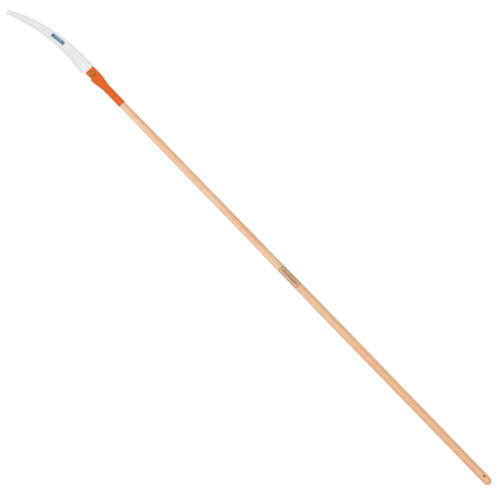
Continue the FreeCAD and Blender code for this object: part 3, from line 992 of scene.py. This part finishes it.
def rounded_box(graph, x, y, half_x, half_y, corner):
    """Distance from the outline of a rectangle with round corners, negative inside."""
    out_x = graph.plus(graph.calc("ABSOLUTE", x), corner - half_x)
    out_y = graph.plus(graph.calc("ABSOLUTE", y), corner - half_y)
    past_x = graph.calc("MAXIMUM", out_x, 0.0)
    past_y = graph.calc("MAXIMUM", out_y, 0.0)
    far = graph.vector("LENGTH", graph.join(past_x, past_y, 0.0), out="Value")
    near = graph.calc("MINIMUM", graph.calc("MAXIMUM", out_x, out_y), 0.0)
    return graph.plus(graph.plus(far, near), -corner)


def bar(graph, x, y, half_x, half_y, soft):
    """1 inside a rectangle about zero."""
    return graph.times(graph.inside(x, half_x, soft), graph.inside(y, half_y, soft))


def beats(graph, place, pitch, start, half):
    """1 on a row of bars that repeats at pitch; half is half a bar's share of it."""
    beat = graph.calc("FRACT", graph.calc("MULTIPLY_ADD", place, 1 / pitch, start))
    return graph.inside(graph.plus(beat, -0.5), half, BAR_SOFT)


def blade_label_film():
    """Blue film, paler about its middle, with a plain white border, a row of bars and a line."""
    graph = Graph("blade_label_film")
    centre = tuple(middle_of("blade_label"))
    spin = graph.add("ShaderNodeVectorRotate", rotation_type="Z_AXIS")
    graph.feed(spin.inputs["Vector"], graph.place)
    graph.feed(spin.inputs["Center"], centre)
    graph.feed(spin.inputs["Angle"], -BLADE_LABEL_TURN)
    x, y, _ = graph.split(graph.vector("SUBTRACT", spin.outputs[0], centre))
    half_x, half_y = (side / 2 for side in BLADE_LABEL_SIZE)
    soft = BLADE_PRINT_SOFT
    bars = bar(graph, x, y, half_x * BLADE_BARS[0], BLADE_BARS[1], soft)
    bars = graph.times(bars, beats(graph, x, BLADE_BAR_PITCH, 0.5, 0.24))
    line_y = graph.plus(y, -BLADE_LINE_Y)
    line = bar(graph, x, line_y, half_x * BLADE_LINE[0], BLADE_LINE[1], soft)
    border = rounded_box(graph, x, y, half_x - BLADE_BORDER_INSET, half_y - BLADE_BORDER_INSET,
                         BLADE_BORDER_CORNER)
    border = graph.fit(border, -soft / 2, soft / 2)
    lettering = graph.times(graph.calc("MAXIMUM", bars, line), 0.55)
    printed = graph.calc("MAXIMUM", border, lettering)
    cloud = graph.noise(graph.place, *BLADE_FILM_NOISE)
    pale = graph.inside(x, half_x * BLADE_PALE[0], BLADE_PALE[1])
    colour = graph.mix(pale, LABEL_BLUE, LABEL_BLUE_PALE)
    colour = graph.tint(colour, graph.spread(cloud, 0.94, 1.05))
    return graph.finish(
        Base_Color=graph.mix(graph.times(printed, 0.9), colour, PRINT_WHITE),
        Roughness=graph.spread(cloud, 0.28, 0.36),
        Coat_Weight=0.3,
        Coat_Roughness=0.12,
        Normal=graph.bump(graph.plus(cloud, graph.times(printed, 0.4)), BLADE_FILM_RELIEF),
    )


def pole_label_film():
    """Clear film that darkens the wood below it, with a brown frame, a row of bars and two
    lines."""
    graph = Graph("pole_label_film")
    wood = wood_look(graph)[0]
    low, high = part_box("pole_label")
    middle_x = middle_of("pole_label").x
    radius = pole_radius(middle_x)
    x, y, z = graph.split(graph.place)
    along = graph.plus(x, -middle_x)
    across = graph.times(graph.calc("ARCTAN2", y, z), radius)
    soft = POLE_PRINT_SOFT
    outline = rounded_box(graph, along, across,
                          (high.x - low.x) / 2 - POLE_FRAME_INSET[0],
                          POLE_LABEL_HALF_ANGLE * radius - POLE_FRAME_INSET[1],
                          POLE_FRAME_CORNER)
    frame_line = graph.inside(outline, POLE_FRAME_LINE, soft)
    bars = bar(graph, along, across, *POLE_BARS, soft)
    bars = graph.times(bars, beats(graph, along, POLE_BAR_PITCH, 0.0, 0.40))
    lines_y = graph.plus(graph.calc("ABSOLUTE", across), -POLE_LINES_Y)
    lines = graph.times(bar(graph, along, lines_y, *POLE_LINES, soft), 0.8)
    printed = graph.calc("MAXIMUM", frame_line, graph.calc("MAXIMUM", bars, lines))
    cloud = graph.noise(graph.place, *POLE_FILM_NOISE)
    colour = graph.mix(0.42, wood, GUM)
    return graph.finish(
        Base_Color=graph.mix(graph.times(printed, 0.94), colour, PRINT_BROWN),
        Roughness=graph.spread(cloud, 0.24, 0.32),
        Coat_Weight=0.2,
        Coat_Roughness=0.2,
        Normal=graph.bump(cloud, POLE_FILM_RELIEF),
    )


# ---------------------------------------------------------------- floor, light and camera

FLOOR_HALF = 30.0
FLOOR_GREY = (0.11, 0.11, 0.11)
FLOOR_PALE = (0.13, 0.13, 0.13)
FLOOR_GLOW = 0.88
FLOOR_NOISE = (3.0, 2.0)

# The sky's brightness: two heights of the line of sight, 0 level and 1 straight up, and the
# brightness at each. The haze hides where the floor ends.
SKY_OVERHEAD = (0.40, 0.95, 0.66, 2.12)
SKY_HAZE = (0.12, 0.20, 1.2, 0.0)

# Lamps: place, width and height, power
KEY = ((1.25, 2.2, 3.0), (2.0, 2.0), 32.0)
FILL = ((1.25, -3.2, 2.4), (3.0, 3.0), 10.0)
SHEEN = ((2.9, 4.4, 2.0), (4.6, 1.5), 150.0)


def make_floor():
    """A plain floor that glows, so it stays white and its shadows stay pale."""
    centre = (cad_box[0] + cad_box[1]) / 2
    z = cad_box[0].z
    corners = [(centre.x + sx * FLOOR_HALF, centre.y + sy * FLOOR_HALF, z)
               for sx, sy in ((-1, -1), (1, -1), (1, 1), (-1, 1))]
    mesh = bpy.data.meshes.new("floor")
    mesh.from_pydata(corners, [], [(0, 1, 2, 3)])
    floor = add_piece("floor", mesh)
    graph = Graph("white_floor")
    speck = graph.noise(graph.place, *FLOOR_NOISE)
    paint(floor, graph.finish(
        Base_Color=graph.mix(speck, FLOOR_GREY, FLOOR_PALE),
        Roughness=0.9,
        Specular_IOR_Level=0.0,
        Emission_Color=(1.0, 1.0, 1.0),
        Emission_Strength=FLOOR_GLOW,
    ))


def sky_band(tree, height, numbers):
    """Brightness that goes from one level to another between two heights."""
    band = tree.nodes.new("ShaderNodeMapRange")
    tree.links.new(height, band.inputs["Value"])
    for name, number in zip(("From Min", "From Max", "To Min", "To Max"), numbers):
        band.inputs[name].default_value = number
    return band.outputs[0]


def make_world():
    """Soft white light all round, brightest overhead, with a pale haze low down."""
    world = bpy.data.worlds.new("studio")
    bpy.context.scene.world = world
    world.use_nodes = True
    tree = world.node_tree
    tree.nodes.clear()
    way = tree.nodes.new("ShaderNodeTexCoord")
    parts = tree.nodes.new("ShaderNodeSeparateXYZ")
    tree.links.new(way.outputs["Generated"], parts.inputs[0])
    level = tree.nodes.new("ShaderNodeMath")
    level.operation = "MAXIMUM"
    for socket, numbers in zip(level.inputs, (SKY_OVERHEAD, SKY_HAZE)):
        tree.links.new(sky_band(tree, parts.outputs["Z"], numbers), socket)
    sky = tree.nodes.new("ShaderNodeBackground")
    tree.links.new(level.outputs[0], sky.inputs["Strength"])
    output = tree.nodes.new("ShaderNodeOutputWorld")
    tree.links.new(sky.outputs[0], output.inputs["Surface"])


def make_lamp(name, place, size, power):
    """A soft light turned to the middle of the saw; size is its width and height."""
    data = bpy.data.lights.new(name, "AREA")
    data.shape = "RECTANGLE"
    data.size, data.size_y = size
    data.energy = power
    lamp = bpy.data.objects.new(name, data)
    bpy.context.scene.collection.objects.link(lamp)
    target = (cad_box[0] + cad_box[1]) / 2
    lamp.location = place
    lamp.rotation_mode = "QUATERNION"
    lamp.rotation_quaternion = (Vector(place) - target).to_track_quat("Z", "Y")
    return lamp


def make_lights(varnished):
    """The key and the fill stay out of reflections, so that the flat steel never flashes white
    in a slanted view. The sheen is only reflected, and only by the varnished pieces."""
    for name, lamp in (("key", KEY), ("fill", FILL)):
        make_lamp(name, *lamp).visible_glossy = False
    sheen = make_lamp("sheen", *SHEEN)
    sheen.visible_diffuse = False
    receivers = bpy.data.collections.new("varnished")
    for piece in varnished:
        receivers.objects.link(piece)
    sheen.light_linking.receiver_collection = receivers


def make_camera():
    """Looks straight down from far enough that VIEW_WIDTH fills the picture."""
    data = bpy.data.cameras.new("camera")
    data.lens = LENS
    data.sensor_width = SENSOR
    camera = bpy.data.objects.new("camera", data)
    bpy.context.scene.collection.objects.link(camera)
    height = VIEW_WIDTH * LENS / SENSOR
    back = VIEW_RIGHT.cross(VIEW_UP)
    camera.matrix_world = Matrix((
        (VIEW_RIGHT.x, VIEW_UP.x, back.x, VIEW_CENTRE[0]),
        (VIEW_RIGHT.y, VIEW_UP.y, back.y, VIEW_CENTRE[1]),
        (VIEW_RIGHT.z, VIEW_UP.z, back.z, height),
        (0.0, 0.0, 0.0, 1.0),
    ))
    bpy.context.scene.camera = camera


# ---------------------------------------------------------------- assembly

yellow = yellow_zinc()
orange = socket_paint()

pole = make_pole(ash_wood())
make_socket(orange)
make_bolt(yellow)
make_nut(yellow)
pole_sticker = make_pole_label(pole_label_film())

cad_looks = {
    "saw_blade": blade_steel(),
    "blade_label": blade_label_film(),
    "head_washer": yellow,
    "nut_washer": yellow,
    "spring_washer": yellow,
    "pole_screw_front": orange,
    "pole_screw_back": orange,
}
for node, material in cad_looks.items():
    paint(frame["nodes"][node], material)

make_floor()
make_world()
make_lights((pole, pole_sticker))
make_camera()
bpy.context.scene.view_settings.view_transform = "Standard"
